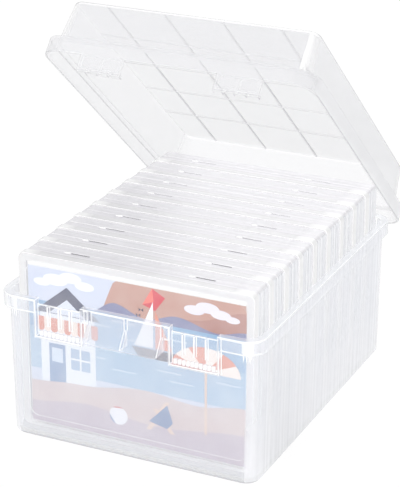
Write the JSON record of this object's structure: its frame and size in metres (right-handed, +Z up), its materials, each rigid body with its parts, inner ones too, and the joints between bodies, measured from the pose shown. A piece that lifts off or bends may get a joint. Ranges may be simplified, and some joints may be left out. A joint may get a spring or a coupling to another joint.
{
  "type": "photo keeper case",
  "caption": "Clear plastic box with a hinged lid, latch pockets and a pull handle, holding a row of slim upright cases for loose photo prints.",
  "frame": {"origin": "centre of the bin's flat underside", "axes": "+X to the right along the front, +Y from the front to the hinge at the back, +Z up"},
  "size_m": [0.1894, 0.2732, 0.2682],
  "materials": {
    "clear_bin": "clear, satin moulded",
    "clear_lid": "clear, satin moulded",
    "clear_case": "clear, polished",
    "picture_print": "printed card"
  },
  "bodies": {
    "bin": {"base_bin": "clear_bin"},
    "lid": {"lid": "clear_lid"},
    "case_1": {"case_1_cover": "clear_case", "case_1_tray": "clear_case", "picture_card": "picture_print"},
    "case_2": {"case_2_cover": "clear_case", "case_2_tray": "clear_case"},
    "case_3": {"case_3_cover": "clear_case", "case_3_tray": "clear_case"},
    "case_4": {"case_4_cover": "clear_case", "case_4_tray": "clear_case"},
    "case_5": {"case_5_cover": "clear_case", "case_5_tray": "clear_case"},
    "case_6": {"case_6_cover": "clear_case", "case_6_tray": "clear_case"},
    "case_7": {"case_7_cover": "clear_case", "case_7_tray": "clear_case"},
    "case_8": {"case_8_cover": "clear_case", "case_8_tray": "clear_case"},
    "case_9": {"case_9_cover": "clear_case", "case_9_tray": "clear_case"}
  },
  "joints": [
    {"name": "lid_hinge", "type": "hinge", "parent": "bin", "child": "lid", "pos_m": [0, 0.12035, 0.075], "axis": [-1, 0, 0], "range_deg": [-40.9, 59.1]},
    {"name": "case_1_lift", "type": "slide", "parent": "bin", "child": "case_1", "axis": [0, 0, 1], "range_m": [0, 0.1]},
    {"name": "case_2_lift", "type": "slide", "parent": "bin", "child": "case_2", "axis": [0, 0, 1], "range_m": [0, 0.1]},
    {"name": "case_3_lift", "type": "slide", "parent": "bin", "child": "case_3", "axis": [0, 0, 1], "range_m": [0, 0.1]},
    {"name": "case_4_lift", "type": "slide", "parent": "bin", "child": "case_4", "axis": [0, 0, 1], "range_m": [0, 0.1]},
    {"name": "case_5_lift", "type": "slide", "parent": "bin", "child": "case_5", "axis": [0, 0, 1], "range_m": [0, 0.1]},
    {"name": "case_6_lift", "type": "slide", "parent": "bin", "child": "case_6", "axis": [0, 0, 1], "range_m": [0, 0.089]},
    {"name": "case_7_lift", "type": "slide", "parent": "bin", "child": "case_7", "axis": [0, 0, 1], "range_m": [0, 0.069]},
    {"name": "case_8_lift", "type": "slide", "parent": "bin", "child": "case_8", "axis": [0, 0, 1], "range_m": [0, 0.049]},
    {"name": "case_9_lift", "type": "slide", "parent": "bin", "child": "case_9", "axis": [0, 0, 1], "range_m": [0, 0.029]}
  ]
}
